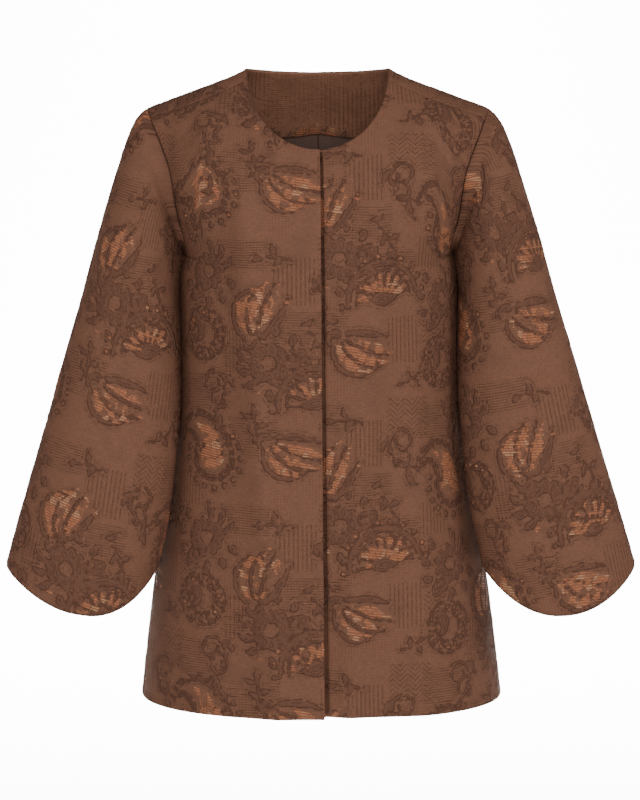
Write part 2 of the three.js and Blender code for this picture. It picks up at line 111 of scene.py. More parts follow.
floor_mesh = bpy.data.meshes.new("floor")
floor_form = bmesh.new()
bmesh.ops.create_grid(floor_form, x_segments=1, y_segments=1, size=40)
bmesh.ops.translate(floor_form, verts=floor_form.verts, vec=(0, 0, FLOOR_LEVEL))
floor_form.to_mesh(floor_mesh)
floor_form.free()
floor_mesh.materials.append(paper)
floor = bpy.data.objects.new("floor", floor_mesh)
bpy.context.scene.collection.objects.link(floor)

world = bpy.data.worlds.new("studio_air")
world.use_nodes = True
world.node_tree.nodes["Background"].inputs["Color"].default_value = (1, 1, 1, 1)
world.node_tree.nodes["Background"].inputs["Strength"].default_value = AIR_STRENGTH
bpy.context.scene.world = world

STUDIO_LIGHTS = [  # where each stands, what it faces, its width and height in metres, its watts
    {"name": "front", "at": (0, -4.2, 1.0), "to": (0, 0, -0.37), "size": (2.6, 1.6), "watts": 56},
    {"name": "key", "at": (2.7, -1.9, 1.1), "to": (0, 0, -0.37), "size": (1.2, 1.6), "watts": 24},
    {"name": "fill", "at": (-2.7, -1.9, 0.7), "to": (0, 0, -0.37), "size": (1.4, 1.6), "watts": 11},
    {"name": "backdrop", "at": (0, 9.0, 0.2), "to": (0, 9.0, -2), "size": (4.0, 15.0), "watts": 3000},
]
for row in STUDIO_LIGHTS:
    light_data = bpy.data.lights.new(row["name"], "AREA")
    light_data.shape = "RECTANGLE"
    light_data.size, light_data.size_y = row["size"]
    light_data.energy = row["watts"]
    light_data.spread = LIGHT_SPREAD
    light = bpy.data.objects.new(row["name"], light_data)
    light.location = row["at"]
    light.rotation_euler = (Vector(row["to"]) - light.location).to_track_quat("-Z", "Y").to_euler()
    light.visible_camera = False
    bpy.context.scene.collection.objects.link(light)
print("Camera", round((camera.location - AIM).length, 2), "m away, lens", round(camera_data.lens), "mm")

# %% [markdown]
# The form is the shape that the cloth takes over the shoulders and chest. It is given by the same
# sizes as the solids: half widths and depths at a few heights, and a soft curve between them. Only
# the sleeve's inner line lies up to 5 mm nearer the body under the arm, where soft cloth closes up.
# A maker reads such sizes off a pattern. Each table has named columns, in millimetres.

# %% Sizes of the form
CLOTH = 1.8
LAYER_GAP = 0.5
NECK_HALF = 82
SHOULDER_SLOPE = 0.37
NECK_RISE = 4
NECK_RISE_REACH = 15
UNDERARM_Z = -215
HEM_Z = -742
HEM_LEAN = 4.5
RIDGE_HALF = 215
SECTION_POWER = 2.2
SHOULDER_POWER = 2.9
SPREAD_POWER = 1.3
SHOULDER_REACH = 0.6
SEAM_FORWARD = 0.86
NECK_SEAM_ANGLE = math.radians(7)
NECK_SHARE = 0.5
STEP_START = 0.012
STEP_END = 0.083
UNDERLAP_SHARE = 0.068
OVER_EDGE_SHARE = 0.008
QUARTER = math.pi / 2

SIDES = {
    "front": {"way": -1, "neck_drop": 81, "neck_curve": 1, "centre_lean": 2, "shoulder_lean": 1.15},
    "back": {"way": 1, "neck_drop": 10, "neck_curve": 1.5, "centre_lean": 1.5, "shoulder_lean": 1.05},
}
BODY = [
    {"z": -215, "half": 157, "front": 130, "back": 116},  # bust and underarm
    {"z": -238, "half": 162, "front": 130.5, "back": 114},
    {"z": -300, "half": 163, "front": 131, "back": 110},
    {"z": -400, "half": 167, "front": 128, "back": 106},  # waist
    {"z": -500, "half": 179, "front": 129, "back": 112},
    {"z": -600, "half": 195, "front": 133, "back": 122},
    {"z": -742, "half": 212, "front": 141, "back": 134},  # hem
]
ARMHOLE = [
    {"z": -215, "front": 157, "back": 157},  # underarm
    {"z": -211, "front": 155.6, "back": 155.2},
    {"z": -205, "front": 155, "back": 153.8},
    {"z": -197, "front": 155.4, "back": 153.5},
    {"z": -187, "front": 157.4, "back": 155},
    {"z": -177, "front": 160.4, "back": 157.8},
    {"z": -160, "front": 164.5, "back": 162.5},
    {"z": -144, "front": 168, "back": 167},
    {"z": -111, "front": 174, "back": 175.5},
    {"z": -88, "front": 181, "back": 183},
    {"z": -69, "front": 188, "back": 190},
    {"z": -57, "front": 193, "back": 195},
    {"z": -47, "front": 198, "back": 198},  # shoulder tip
]
SLEEVE = [
    {"out_x": 205, "out_z": -53, "in_x": 156, "in_z": -214, "mid_y": -4, "depth": 51},
    {"out_x": 214, "out_z": -65, "in_x": 156.5, "in_z": -222, "mid_y": -9, "depth": 53},
    {"out_x": 224, "out_z": -89, "in_x": 159, "in_z": -236, "mid_y": -16, "depth": 54},
    {"out_x": 238, "out_z": -132, "in_x": 161.5, "in_z": -258, "mid_y": -22, "depth": 55},
    {"out_x": 255, "out_z": -188, "in_x": 160.5, "in_z": -292, "mid_y": -30, "depth": 54},
    {"out_x": 276, "out_z": -264, "in_x": 160, "in_z": -336, "mid_y": -39, "depth": 53},
    {"out_x": 298, "out_z": -338, "in_x": 161, "in_z": -388, "mid_y": -48, "depth": 52},
    {"out_x": 320, "out_z": -414, "in_x": 165.5, "in_z": -442, "mid_y": -55, "depth": 52},
    {"out_x": 343, "out_z": -491, "in_x": 173, "in_z": -504, "mid_y": -60, "depth": 53},
    {"out_x": 367, "out_z": -574, "in_x": 189, "in_z": -578, "mid_y": -63, "depth": 55},  # hem
]
SLEEVE_HEM_DIP = 48
HEM_DIP_ROWS = 2.5
RIGHT_HEM_SKEW = 0.15  # moves the hem's lowest point towards the body, more on this sleeve
LEFT_HEM_SKEW = 0.02
SLEEVE_CLEARANCE = 0.5
SLEEVE_POWER = 2.3
SLEEVE_INNER_POWER = 2.0  # towards the body the sleeve is rounder
print(len(BODY), "sections of the body and", len(SLEEVE), "of the sleeve")

# %% [markdown]
# The next cells turn those sizes into points. A place on the body is given by two numbers, an angle
# round it and a level up it, as a place on a globe is. Numpy works out thousands of places at once.

# %% Places on the form
def ease(x, start, end):
    t = np.clip((x - start) / (end - start), 0, 1)
    return t * t * (3 - 2 * t)


def mix(a, b, t):
    return a + (b - a) * t


def signed_power(x, p):
    return np.sign(x) * np.abs(x) ** p


def smooth_value(table, column, z):
    """A smooth curve through one column of a table, at heights z."""
    rows = sorted(table, key=lambda row: row["z"])
    heights = np.array([row["z"] for row in rows], float)
    values = np.array([row[column] for row in rows], float)
    before, after = np.maximum(np.arange(len(rows)) - 1, 0), np.arange(len(rows)) + 1
    after = np.minimum(after, len(rows) - 1)
    slopes = (values[after] - values[before]) / (heights[after] - heights[before])
    k = np.clip(np.searchsorted(heights, z, side="right") - 1, 0, len(rows) - 2)
    span = heights[k + 1] - heights[k]
    t = np.clip((z - heights[k]) / span, 0, 1)
    ends = mix(values[k], values[k + 1], t * t * (3 - 2 * t))
    return ends + slopes[k] * span * t * (1 - t) ** 2 + slopes[k + 1] * span * t * t * (t - 1)


def ridge_height(x):
    past = np.abs(x) - NECK_HALF
    slope = SHOULDER_SLOPE + NECK_RISE / NECK_RISE_REACH
    inside = slope * (NECK_HALF ** 2 - x ** 2) / (2 * NECK_HALF)
    rise = NECK_RISE * (np.exp(-np.maximum(past, 0) / NECK_RISE_REACH) - 1)
    return np.where(past < 0, inside, -SHOULDER_SLOPE * past + rise)


def upper_half(climb):
    return mix(BODY[0]["half"], RIDGE_HALF, climb ** SPREAD_POWER)


def upper_power(climb):
    return mix(SECTION_POWER, SHOULDER_POWER, np.sin(QUARTER * climb))


def form_point(side, angle, level):
    """Points of the form. level runs from -1 at the hem over 0 at the underarm to a quarter turn."""
    row = SIDES[side]
    climb = np.sin(np.maximum(0, level))
    power = upper_power(climb)
    out = signed_power(np.sin(angle), 2 / power)
    deep = signed_power(np.cos(angle), 2 / power)
    low_z = mix(UNDERARM_Z, HEM_Z, np.maximum(0, -level))
    lean = mix(row["centre_lean"], row["shoulder_lean"], ease(np.abs(angle), 0, SHOULDER_REACH))
    high_y = BODY[0][side] * signed_power(np.cos(np.maximum(0, level)), lean)
    high_z = mix(UNDERARM_Z, ridge_height(RIDGE_HALF * out), climb)
    low = level < 0
    half = np.where(low, smooth_value(BODY, "half", low_z), upper_half(climb))
    depth = np.where(low, smooth_value(BODY, side, low_z), high_y)
    return np.stack([half * out, row["way"] * depth * deep, np.where(low, low_z, high_z)], axis=-1)


def locate(x, z):
    """The angle and level of the places that show at x and z in front view, above the underarm."""
    x, z = np.broadcast_arrays(np.asarray(x, float), np.asarray(z, float))
    out = x / RIDGE_HALF
    for _ in range(40):
        climb = (z - UNDERARM_Z) / (ridge_height(RIDGE_HALF * out) - UNDERARM_Z)
        climb = np.clip(climb, 0, 1)
        out = np.minimum(1, x / upper_half(climb))
    angle = np.arcsin(np.clip(signed_power(out, upper_power(climb) / 2), -1, 1))
    return np.stack([angle, np.arcsin(climb)], axis=-1)


def armhole_edge(side, share):
    z = mix(UNDERARM_Z, ARMHOLE[-1]["z"], (1 - np.cos(np.pi * share)) / 2)
    return locate(smooth_value(ARMHOLE, side, z), z)


def neckline_edge(side, turn):
    row = SIDES[side]
    drop = -row["neck_drop"] * np.sin(turn) ** row["neck_curve"]
    return locate(NECK_HALF * np.cos(turn), drop)


def unit(vectors):
    return vectors / np.maximum(np.linalg.norm(vectors, axis=-1, keepdims=True), 1e-9)


def form_normal(side, angle, level):
    nudge = 0.004
    across = form_point(side, angle + nudge, level) - form_point(side, angle - nudge, level)
    low = np.where((level >= 0) & (level < nudge), level, level - nudge)
    up = form_point(side, angle, level + nudge) - form_point(side, angle, low)
    return unit(np.cross(across, up)) * -SIDES[side]["way"]


print("The neckline's lowest point is at", form_point("front", *neckline_edge("front", QUARTER)))

# %% [markdown]
# A panel above the underarm is stretched between four edges: the centre, the armhole, the chest
# line and the neckline with the shoulder. The way to do that is a Coons patch, which blends the two
# pairs of facing edges and takes away what the corners count twice.

# %% The panels as grids of points
def upper_patch(side, top_share, u, v):
    start_turn = NECK_SEAM_ANGLE if side == "front" else 0.0
    neck_side = neckline_edge(side, start_turn)
    tip = armhole_edge(side, top_share)
    turn = mix(QUARTER, start_turn, np.minimum(u / NECK_SHARE, 1))
    along = np.clip((u - NECK_SHARE) / (1 - NECK_SHARE), 0, 1)[..., None]
    top = np.where(along > 0, mix(neck_side, tip, along), neckline_edge(side, turn))
    bottom = np.stack([QUARTER * u, 0 * u], axis=-1)
    top_left = neckline_edge(side, QUARTER)
    centre = np.stack([0 * v, top_left[1] * v], axis=-1)
    outer = armhole_edge(side, top_share * v)
    uu, vv = u[..., None], v[..., None]
    low_right = np.array([QUARTER, 0])
    corners = mix(mix(np.zeros(2), low_right, uu), mix(top_left * [0, 1], tip, uu), vv)
    return mix(centre, outer, uu) + mix(bottom, top, vv) - corners


FALLS = [  # from x and top down to foot_x and foot; a depth under 0 stands out
    {"side": "front", "x": -92, "foot_x": -36, "top": -50, "foot": -1000, "width": 19, "depth": -6.5},
    {"side": "front", "x": 72, "foot_x": 20, "top": -50, "foot": -1000, "width": 18, "depth": -6.5},
    {"side": "front", "x": -138, "foot_x": -150, "top": -150, "foot": -800, "width": 22, "depth": -3},
    {"side": "front", "x": 112, "foot_x": 128, "top": -260, "foot": -900, "width": 20, "depth": -3.2},
    {"side": "front", "x": -176, "foot_x": -176, "top": -50, "foot": -190, "width": 12, "depth": 3},
    {"side": "front", "x": 171, "foot_x": 171, "top": -50, "foot": -190, "width": 12, "depth": 3},
    {"side": "back", "x": -92, "foot_x": -80, "top": -40, "foot": -330, "width": 22, "depth": 3.5},
    {"side": "back", "x": 104, "foot_x": 92, "top": -40, "foot": -300, "width": 22, "depth": 3},
    {"side": "back", "x": -58, "foot_x": -70, "top": -330, "foot": -1100, "width": 28, "depth": -4.5},
    {"side": "back", "x": 74, "foot_x": 88, "top": -300, "foot": -1100, "width": 26, "depth": -4},
]


def fall_depth(side, x, z):
    """How far the soft falls of the cloth lie in."""
    total = np.zeros_like(x)
    for row in FALLS:
        if row["side"] == side:
            down = (row["top"] - z) / (row["top"] - row["foot"])
            fade = ease(down, 0, 0.15) * (1 - ease(down, 0.6, 1))
            middle = mix(row["x"], row["foot_x"], np.clip(down, 0, 1))
            total = total + row["depth"] * fade * np.exp(-((x - middle) / row["width"]) ** 2)
    return total


GROOVE = [(0.0, 0), (0.006, 7.5), (0.014, 8), (0.0205, 0.4)]  # share of the width, depth in mm
BODY_COLUMNS = 102  # about 2.5 mm of cloth between points, which holds the woven figure
LOWER_ROWS = 205
UPPER_ROWS = 74
STRIP_ROWS = 7
PAST_CENTRE_COLUMNS = 110  # for a whole width of cloth past the centre


def tight(values, at_start=False, at_end=False):
    """Adds two lines of points close to an edge, where the cloth rolls or dips to a seam."""
    first, last = values[:1], values[-1:]
    start = first + (values[1] - values[0]) * np.array([0.25, 0.55])
    end = last - (values[-1] - values[-2]) * np.array([0.55, 0.25])
    parts = [first, start if at_start else first[:0], values[1:-1], end if at_end else first[:0]]
    return np.concatenate(parts + [last])


def place_grid(side, angle, level, hand):
    """Points, outward directions and flat cloth coordinates of a grid of places."""
    normals = form_normal(side, angle, level)
    points = form_point(side, angle, level)
    inward = fall_depth(side, points[..., 0] * hand, points[..., 2])
    return points - normals * inward[..., None], normals


def flat_coordinates(points, normals):
    """Unrolls a grid: across along the weft from the centre, up along the warp from the hem."""
    steepness = normals / np.where(np.abs(normals[..., 1:2]) < 0.5, 0.5, normals[..., 1:2])
    slope_x, slope_z = -steepness[..., 0], -steepness[..., 2]
    step = np.diff(points, axis=1)
    deep = step[..., 1] - (slope_z[:, 1:] + slope_z[:, :-1]) / 2 * step[..., 2]
    across = np.zeros(points.shape[:2])
    across[:, 1:] = np.cumsum(np.sign(step[..., 0]) * np.hypot(step[..., 0], deep), axis=1)
    step = np.diff(points, axis=0)
    deep = step[..., 1] - (slope_x[1:] + slope_x[:-1]) / 2 * step[..., 0]
    up = np.zeros(points.shape[:2])
    up[1:] = np.cumsum(np.sign(step[..., 2]) * np.hypot(step[..., 2], deep), axis=0)
    return across, up


def body_grid(side, first_share, hand):
    """One half of the front or back from the hem up, with the back's strip over the shoulder."""
    past_columns = 2 + round(-first_share * PAST_CENTRE_COLUMNS)
    past_centre = np.linspace(first_share, 0, past_columns)[:-1] if first_share else []
    u = tight(np.concatenate([past_centre, np.linspace(0, 1, BODY_COLUMNS + 1)]), True, True)
    if first_share < -OVER_EDGE_SHARE:  # more columns for the groove beside the upper front's edge
        u = np.unique(np.concatenate([u, [near for near, depth in GROOVE]]))
    low = tight(np.linspace(-1, 0, LOWER_ROWS + 1), at_start=True)[:-1]
    v = tight(np.linspace(0, 1, UPPER_ROWS + 1), at_end=True)
    u_low, level_low = np.meshgrid(u, low)
    u_high, v_high = np.meshgrid(u, v)
    top_share = SEAM_FORWARD if side == "front" else 1.0
    place = upper_patch(side, top_share, np.abs(u_high), v_high)
    angle = np.concatenate([QUARTER * u_low, np.sign(u_high) * place[..., 0]])
    level = np.concatenate([level_low, place[..., 1]])
    points, normals = place_grid(side, angle, level, hand)
    grid = {"points": points, "normals": normals, "u": np.broadcast_to(u, angle.shape)}
    grid["across"], grid["up"] = flat_coordinates(points, normals)
    grid["across"] = grid["across"] - grid["across"][:, [int(np.argmin(np.abs(u)))]]
    if side == "back":
        shoulder = u >= NECK_SHARE - 1e-9
        rows = tight(np.linspace(0, 1, STRIP_ROWS + 1), at_end=True)[1:]
        us, share = np.meshgrid(u[shoulder], rows)
        ridge = upper_patch("back", 1.0, us, np.ones_like(us))
        seam = upper_patch("front", SEAM_FORWARD, us, np.ones_like(us))
        spot = mix(ridge, seam, share[..., None])
        edge = armhole_edge("front", mix(1, SEAM_FORWARD, share[:, -1]))
        spot[:, -1] = edge
        spot[:, 0] = neckline_edge("front", mix(0, NECK_SEAM_ANGLE, share[:, 0]))
        strip_points, strip_normals = place_grid("front", spot[..., 0], spot[..., 1], hand)
        ridge_row = grid["points"][-1][shoulder]
        run = np.cumsum(np.linalg.norm(np.diff(
            np.concatenate([ridge_row[None], strip_points]), axis=0), axis=-1), axis=0)
        grid["strip"] = {
            "points": np.concatenate([ridge_row[None], strip_points]),
            "normals": np.concatenate([grid["normals"][-1][shoulder][None], strip_normals]),
            "across": np.repeat(grid["across"][-1][shoulder][None], len(rows) + 1, axis=0),
            "up": grid["up"][-1][shoulder] + np.concatenate([0 * run[:1], run]),
            "u": np.broadcast_to(u[shoulder], (len(rows) + 1, shoulder.sum())),
        }
    return grid


front_left = body_grid("front", -UNDERLAP_SHARE, 1)
front_right = body_grid("front", -OVER_EDGE_SHARE, -1)
back_left = body_grid("back", 0, 1)
back_right = body_grid("back", 0, -1)
print("A front has", front_left["points"].shape[:2], "rows and columns of points")

# %% [markdown]
# A sleeve is a tube on rings. Its first ring is the armhole, and each line along the sleeve runs from
# there through the sections of the table to the hem. The lines start and end under the arm, where
# the real sleeve has its seam, and the round hem hangs lower at its front and back.

# %% The sleeves as grids of points
SLEEVE_COLUMNS = 184
SLEEVE_ROWS = 208
SLEEVE_HANG = (98.0, 0, -446.0)  # the way in which the warp of a sleeve runs down


def body_reach(y, z):
    low = np.minimum(z, UNDERARM_Z)
    depth = np.where(y < 0, smooth_value(BODY, "front", low), smooth_value(BODY, "back", low))
    share = np.minimum(1, np.abs(y) / depth) ** SECTION_POWER
    return smooth_value(BODY, "half", low) * (1 - share) ** (1 / SECTION_POWER)


def sleeve_stop(index, turn, skew):
    row = SLEEVE[index]
    power = np.where(np.cos(turn) < 0, SLEEVE_INNER_POWER, SLEEVE_POWER)
    up = (1 + signed_power(np.cos(turn), 2 / power)) / 2
    dip = SLEEVE_HEM_DIP * ease(index, len(SLEEVE) - 1 - HEM_DIP_ROWS, len(SLEEVE) - 1)
    x = mix(row["in_x"], row["out_x"], up)
    y = row["mid_y"] - row["depth"] * signed_power(np.sin(turn), 2 / power)
    z = mix(row["in_z"], row["out_z"], up) - dip * np.sin(turn - skew * np.sin(turn)) ** 2
    clear = np.where(z < UNDERARM_Z - SLEEVE_CLEARANCE, body_reach(y, z) + SLEEVE_CLEARANCE, -1e9)
    return np.stack([np.maximum(x, clear), y, z], axis=-1)


def curve_through(stops, count):
    """Centripetal curves through rows of points: stops is (stop, line, xyz)."""
    stops = np.concatenate([2 * stops[:1] - stops[1:2], stops, 2 * stops[-1:] - stops[-2:-1]])
    gaps = np.sqrt(np.linalg.norm(np.diff(stops, axis=0), axis=-1, keepdims=True))
    t = np.linspace(0, len(stops) - 3, count)
    k = np.minimum(t.astype(int), len(stops) - 4)
    w = (t - k)[:, None, None]
    a, b, c, d = stops[k], stops[k + 1], stops[k + 2], stops[k + 3]
    g0, g1, g2 = gaps[k], gaps[k + 1], gaps[k + 2]
    leave = ((b - a) / g0 - (c - a) / (g0 + g1) + (c - b) / g1) * g1
    reach = ((c - b) / g1 - (d - b) / (g1 + g2) + (d - c) / g2) * g1
    return (b + leave * w + (3 * (c - b) - 2 * leave - reach) * w ** 2
            + (2 * (b - c) + leave + reach) * w ** 3)


def sleeve_grid(hand, skew):
    share = np.linspace(0, 1, 161)
    seam_side = np.linspace(1, SEAM_FORWARD, 9)
    rounds = [  # from the ridge down the front to the underarm, and up the back again
        ("front", armhole_edge("front", seam_side)),
        ("front", armhole_edge("front", SEAM_FORWARD * share[::-1])[1:]),
        ("back", armhole_edge("back", share)[1:]),
    ]
    loop = np.concatenate([place_grid(s, p[..., 0], p[..., 1], hand)[0] for s, p in rounds])
    normals = np.concatenate([place_grid(s, p[..., 0], p[..., 1], hand)[1] for s, p in rounds])
    run = np.concatenate([[0], np.cumsum(np.linalg.norm(np.diff(loop, axis=0), axis=-1))])
    under = len(seam_side) + len(share) - 2
    turn = np.where(run <= run[under], np.pi * run / run[under],
                    np.pi + np.pi * (run - run[under]) / (run[-1] - run[under]))
    wanted = np.linspace(-np.pi, np.pi, SLEEVE_COLUMNS + 1)
    around = np.mod(wanted, 2 * np.pi)
    around[-1] = np.pi
    start = np.stack([np.interp(around, turn, loop[:, i]) for i in range(3)], axis=-1)
    start_normal = unit(np.stack([np.interp(around, turn, normals[:, i]) for i in range(3)], -1))
    stops = np.stack([start] + [sleeve_stop(i, around, skew) for i in range(len(SLEEVE))])
    points = curve_through(stops, SLEEVE_ROWS + 1)
    round_step = np.empty_like(points)
    round_step[:, 1:-1] = points[:, 2:] - points[:, :-2]
    round_step[:, 0] = round_step[:, -1] = points[:, 1] - points[:, -2]
    along = np.gradient(points, axis=0)
    out = unit(np.cross(round_step, along))
    lengths = np.linalg.norm(np.diff(points, axis=1), axis=-1)
    across = np.concatenate([np.zeros((len(points), 1)), np.cumsum(lengths, axis=1)], axis=1)
    front_line = int(round(0.75 * SLEEVE_COLUMNS))
    across = -(across - across[:, [front_line]])
    hang = unit(np.array(SLEEVE_HANG))
    up = -(points @ hang)
    return {"points": points, "normals": out, "across": across, "up": up, "start": start_normal}


sleeve_left = sleeve_grid(1, LEFT_HEM_SKEW)
sleeve_right = sleeve_grid(-1, RIGHT_HEM_SKEW)
ring = sleeve_left["points"][SLEEVE_ROWS // 2]
towards_out = (ring - ring.mean(axis=0)) * sleeve_left["normals"][SLEEVE_ROWS // 2]
print("The sleeve's directions point outwards:", bool((towards_out.sum(-1) > 0).mean() > 0.9))

# %% [markdown]
# The figure of the cloth is drawn the way a weaver plans it, as strokes on the flat cloth. A stroke
# starts somewhere, runs a length while it bends, and swells or thins on its way. Leaves, scrolls,
# beads and whole paisleys are such strokes. For every point of a panel, the nearest stroke gives the
# distance inside it in millimetres. Each field of strokes goes to the cloth's material by that
# distance, which keeps the edges sharp between the points.

# %% The strokes of each motif
STROKE = "motif field count spread x y turn length bend curl start middle end shell core".split()
STROKES = [dict(zip(STROKE, row + (0, 99))) for row in (
    # A stroke counts as many turned copies as count says, over spread degrees round the motif's
    # middle. It runs length mm from x and y in the direction turn and bends by bend degrees, later
    # if curl is high. It is drawn from shell mm inside its edge to core mm inside, else solid.
    ("paisley", "dark", 1, 0, 0, 0, 68, 84, 165, 1.4, 29, 19, 2, 0, 2.4),
    ("paisley", "dark", 1, 0, 0, 0, 68, 84, 165, 1.4, 29, 19, 2, 4.6, 7.4),
    ("paisley", "rust", 1, 0, 0, 2, 66, 74, 150, 1.4, 28, 17, 1, 10.5, 99),
    ("paisley", "dark", 5, 120, 2, 0, 70, 20, 30, 1.0, 2.2, 3.8, 1),
    ("paisley", "dark", 13, 260, 0, -37, 0, 0, 0, 1, 3.7, 3.7, 3.7),
    ("paisley", "rust", 13, 260, 0, -37, 0, 0, 0, 1, 2.0, 2.0, 2.0),
    ("fan", "dark", 1, 0, 0, -47, 0, 148, 180, 1, 3, 4.6, 3),
    ("fan", "dark", 1, 0, 0, -37, 0, 116, 180, 1, 1.4, 1.9, 1.4),
    ("fan", "rust", 7, 146, 13, 0, 0, 20, 10, 1, 2.4, 5.4, 4.0),
    ("fan", "dark", 8, 167, 11, 0, 0, 24, 0, 1, 1.2, 1.7, 1.3),
    ("fan", "dark", 11, 178, 56, 0, 0, 0, 0, 1, 4.1, 4.1, 4.1),
    ("fan", "rust", 11, 178, 56, 0, 0, 0, 0, 1, 2.2, 2.2, 2.2),
    ("fan", "dark", 1, 0, 2, -12, 90, 24, 0, 1, 6, 10, 6),
    ("bloom", "dark", 11, 330, 12, 0, 8, 9, 30, 1, 4.2, 6.4, 4.6),
    ("bloom", "clear", 1, 0, 8, 0, 100, 44, 330, 1, 0.9, 1.3, 0.9),
    ("bloom", "dark", 7, 200, 30, -18, -20, 8, 30, 1, 3.4, 5.4, 3.6),
    ("bloom", "dark", 1, 0, 14, -8, -35, 24, 30, 1, 8, 11, 7),
    ("bloom", "clear", 1, 0, 26, -18, 20, 30, 300, 1, 0.8, 1.2, 0.8),
    ("bloom", "dark", 3, 60, -22, 6, 165, 22, -70, 1.3, 2, 5.2, 1.2),
    ("scroll", "dark", 1, 0, -34, -14, 30, 128, 430, 1.9, 1.5, 2.4, 1.6),
    ("scroll", "dark", 1, 0, -4, 14, 165, 74, 350, 1.5, 1.6, 2.3, 1.5),
    ("scroll", "dark", 1, 0, -28, -12, -65, 28, -80, 1.2, 1.6, 5.6, 1.0),
    ("scroll", "dark", 1, 0, 4, 16, 100, 24, 70, 1.2, 1.5, 5.0, 1.0),
    ("scroll", "dark", 1, 0, 12, -20, -50, 18, 70, 1.2, 1.3, 4.4, 1.0),
    ("scroll", "rust", 1, 0, 40, 6, 0, 0, 0, 1, 4.4, 4.4, 4.4),
    ("plume", "rust", 1, 0, -30, -12, 62, 66, -110, 1, 3, 8, 1.5),
    ("plume", "rust", 1, 0, -24, -18, 30, 66, -55, 1, 3, 8.5, 1.5),
    ("plume", "rust", 1, 0, -20, -24, -8, 58, 10, 1, 3, 7.5, 1.5),
    ("plume", "dark", 1, 0, -36, -8, 78, 84, -160, 1, 2.4, 3.2, 1.4),
    ("plume", "dark", 1, 0, -28, -16, 46, 66, -80, 1, 1.5, 2.2, 1.0),
    ("plume", "dark", 1, 0, -24, -22, 12, 60, -25, 1, 1.5, 2.2, 1.0),
    ("plume", "dark", 1, 0, -26, -30, -28, 54, 30, 1, 3.0, 5.0, 1.2),
    ("plume", "dark", 1, 0, -36, -26, 180, 26, -190, 1.2, 5, 4, 1.6),
    ("sprig", "dark", 1, 0, -18, 0, 0, 38, 35, 1, 1.4, 1.8, 1.1),
    ("sprig", "dark", 1, 0, -6, 1, 60, 14, 30, 1, 1, 4.0, 1),
    ("sprig", "dark", 1, 0, 2, 2, -45, 14, -20, 1, 1, 4.0, 1),
    ("sprig", "dark", 1, 0, 14, 9, 20, 13, 20, 1, 1, 4.4, 1),
    ("wreath", "dark", 1, 0, 0, -32, 0, 201, 360, 1, 1.4, 1.4, 1.4),
    ("wreath", "dark", 14, 334, 25, 0, 0, 0, 0, 1, 3.8, 3.8, 3.8),
    ("wreath", "rust", 14, 334, 25, 0, 0, 0, 0, 1, 2.1, 2.1, 2.1),
    ("wreath", "dark", 1, 0, 0, -18, 0, 112, 360, 1, 1.2, 1.6, 1.2),
    ("wreath", "dark", 1, 0, -8, -6, 50, 30, 120, 1, 4, 7, 3),
)]
MOTIFS = [  # places on one repeat of the cloth, with the size, the turn in degrees and the flip
    {"motif": "paisley", "x": 44, "y": 52, "size": 1.0, "turn": 25, "flip": 1},
    {"motif": "plume", "x": 140, "y": 44, "size": 0.95, "turn": -20, "flip": -1},
    {"motif": "scroll", "x": 70, "y": 122, "size": 0.9, "turn": 10, "flip": 1},
    {"motif": "fan", "x": 172, "y": 118, "size": 0.92, "turn": 100, "flip": 1},
    {"motif": "bloom", "x": 118, "y": 166, "size": 1.0, "turn": 40, "flip": 1},
    {"motif": "sprig", "x": 104, "y": 88, "size": 1.0, "turn": 70, "flip": 1},
    {"motif": "wreath", "x": 30, "y": 196, "size": 0.95, "turn": 0, "flip": 1},
    {"motif": "plume", "x": 92, "y": 232, "size": 1.0, "turn": 70, "flip": 1},
    {"motif": "sprig", "x": 178, "y": 192, "size": 1.0, "turn": -40, "flip": -1},
    {"motif": "scroll", "x": 176, "y": 238, "size": 0.9, "turn": 190, "flip": -1},
    {"motif": "bloom", "x": 36, "y": 270, "size": 0.95, "turn": 210, "flip": -1},
    {"motif": "sprig", "x": 206, "y": 20, "size": 0.9, "turn": 10, "flip": 1},
    {"motif": "sprig", "x": 128, "y": 292, "size": 1.0, "turn": 160, "flip": 1},
]
BLOCKS = [  # ragged patches of ribs, which run along rows, columns or both, or in a herringbone
    {"field": "rows", "x": 96, "y": 78, "wide": 64, "high": 50},
    {"field": "columns", "x": 196, "y": 70, "wide": 42, "high": 54},
    {"field": "rows", "x": 22, "y": 128, "wide": 56, "high": 44},
    {"field": "columns", "x": 78, "y": 178, "wide": 44, "high": 52},
    {"field": "rows", "x": 78, "y": 172, "wide": 44, "high": 30},
    {"field": "rows", "x": 148, "y": 208, "wide": 66, "high": 40},
    {"field": "columns", "x": 148, "y": 262, "wide": 48, "high": 56},
    {"field": "herringbone", "x": 202, "y": 290, "wide": 52, "high": 48},
    {"field": "herringbone", "x": 20, "y": 232, "wide": 46, "high": 34},
    {"field": "rows", "x": 88, "y": 292, "wide": 62, "high": 36},
    {"field": "rows", "x": 190, "y": 160, "wide": 50, "high": 30},
    {"field": "columns", "x": 14, "y": 14, "wide": 40, "high": 40},
]
REPEAT_WIDE, REPEAT_HIGH = 222, 312
FIELDS = ["dark", "rust", "rows", "columns", "herringbone"]
FAR = 12.0
MOTIF_REACH = 100  # no stroke of a motif goes further from its middle


def spine(row):
    """The middle line of a stroke, with its half width at every point."""
    steps = max(2, int(row["length"] / 5) + 2) if row["length"] else 1
    t = (np.arange(steps) + 0.5) / steps
    heading = np.radians(row["turn"] + row["bend"] * t ** row["curl"])
    move = np.stack([np.cos(heading), np.sin(heading)], axis=-1) * row["length"] / steps
    line = np.concatenate([np.zeros((1, 2)), np.cumsum(move, axis=0)]) + (row["x"], row["y"])
    widths = [row["start"], row["middle"], row["end"]]
    half = np.interp(np.linspace(0, 1, steps + 1), [0, 0.5, 1], widths)
    return line, half


